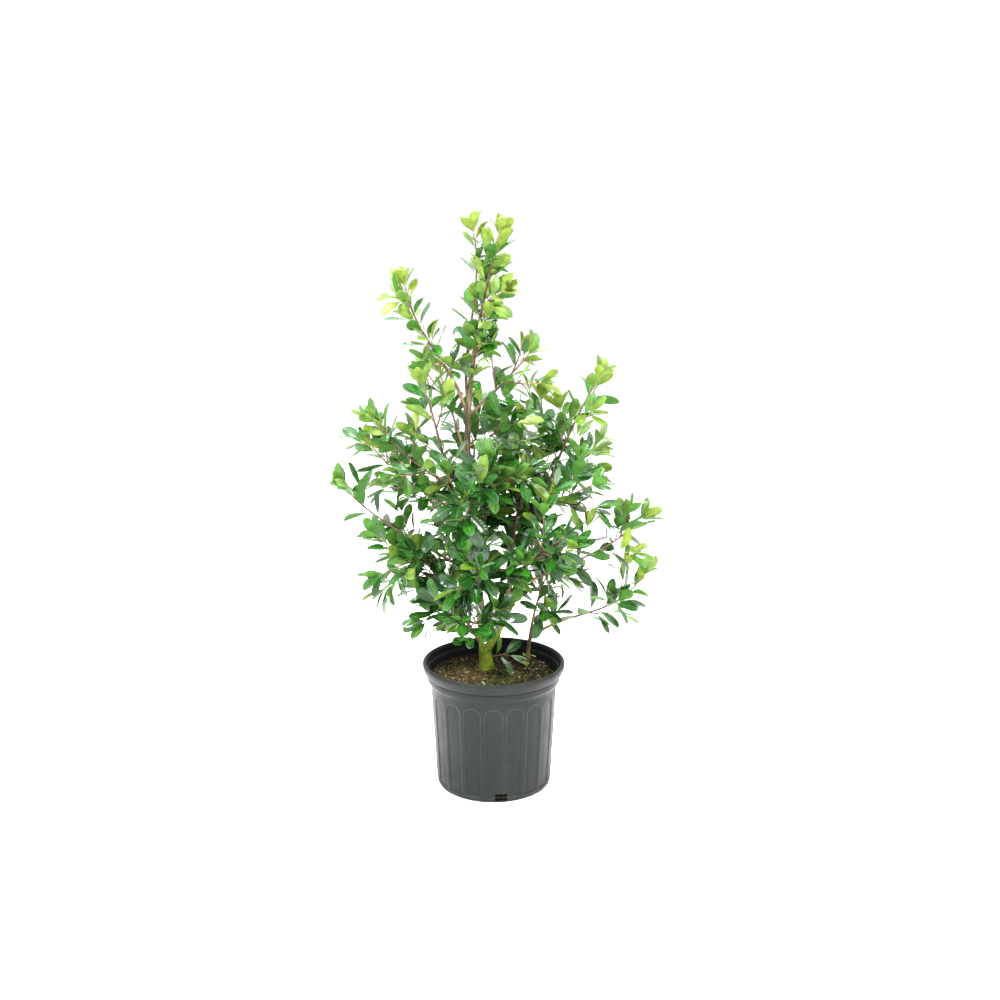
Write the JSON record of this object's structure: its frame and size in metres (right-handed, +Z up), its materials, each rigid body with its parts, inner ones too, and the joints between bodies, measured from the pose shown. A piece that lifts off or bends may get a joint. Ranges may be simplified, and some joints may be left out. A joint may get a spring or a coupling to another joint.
{
  "type": "potted holly shrub",
  "caption": "Young evergreen holly shrub with a bowed trunk, ascending boughs and glossy blunt leaves, in a round black plastic nursery pot with arched panels, filled with potting soil.",
  "frame": {"origin": "centre of the pot's flat underside", "axes": "+Z up along the pot's axis, +X to the right and -Y towards the viewer of the picture"},
  "size_m": [0.6462, 0.5204, 1.1392],
  "materials": {
    "pot_plastic": "semi-matte injection-moulded black plastic with a faint sheen",
    "potting_soil": "crumbly bark-based potting mix with a little moss",
    "bark": "smooth thin bark, olive at the foot and grey-brown above",
    "foliage": "glossy leathery leaves on thin green-brown twigs"
  },
  "bodies": {
    "root": {"pot": "pot_plastic", "soil": "potting_soil", "trunk": "bark", "upper_left": "bark", "upper_right": "bark", "mid_right": "bark", "mid_left": "bark", "far_left": "bark", "outer_left": "bark", "low_left": "bark", "lowest_left": "bark", "left_stem": "bark", "front_arch": "bark", "right_fork": "bark", "back_stem": "bark", "right_upper": "bark", "right_mid": "bark", "right_far": "bark", "right_low": "bark", "right_stem": "bark", "lowest_right": "bark", "back_low": "bark", "back_left": "bark", "back_right": "bark", "back_mid": "bark", "back_high": "bark", "back_lower_left": "bark", "leader_leaves": "foliage", "upper_left_leaves": "foliage", "upper_right_leaves": "foliage", "mid_right_leaves": "foliage", "mid_left_leaves": "foliage", "far_left_leaves": "foliage", "outer_left_leaves": "foliage", "low_left_leaves": "foliage", "lowest_left_leaves": "foliage", "left_stem_leaves": "foliage", "front_arch_leaves": "foliage", "right_fork_leaves": "foliage", "back_stem_leaves": "foliage", "right_upper_leaves": "foliage", "right_mid_leaves": "foliage", "right_far_leaves": "foliage", "right_low_leaves": "foliage", "right_stem_leaves": "foliage", "lowest_right_leaves": "foliage", "back_low_leaves": "foliage", "back_left_leaves": "foliage", "back_right_leaves": "foliage", "back_mid_leaves": "foliage", "back_high_leaves": "foliage", "back_lower_left_leaves": "foliage", "twin_leader_leaves": "foliage", "left_droop_leaves": "foliage", "base_shoot_leaves": "foliage", "low_sprout_leaves": "foliage", "front_low_leaves": "foliage", "front_mid_leaves": "foliage", "front_high_leaves": "foliage", "front_right_leaves": "foliage"}
  },
  "joints": []
}
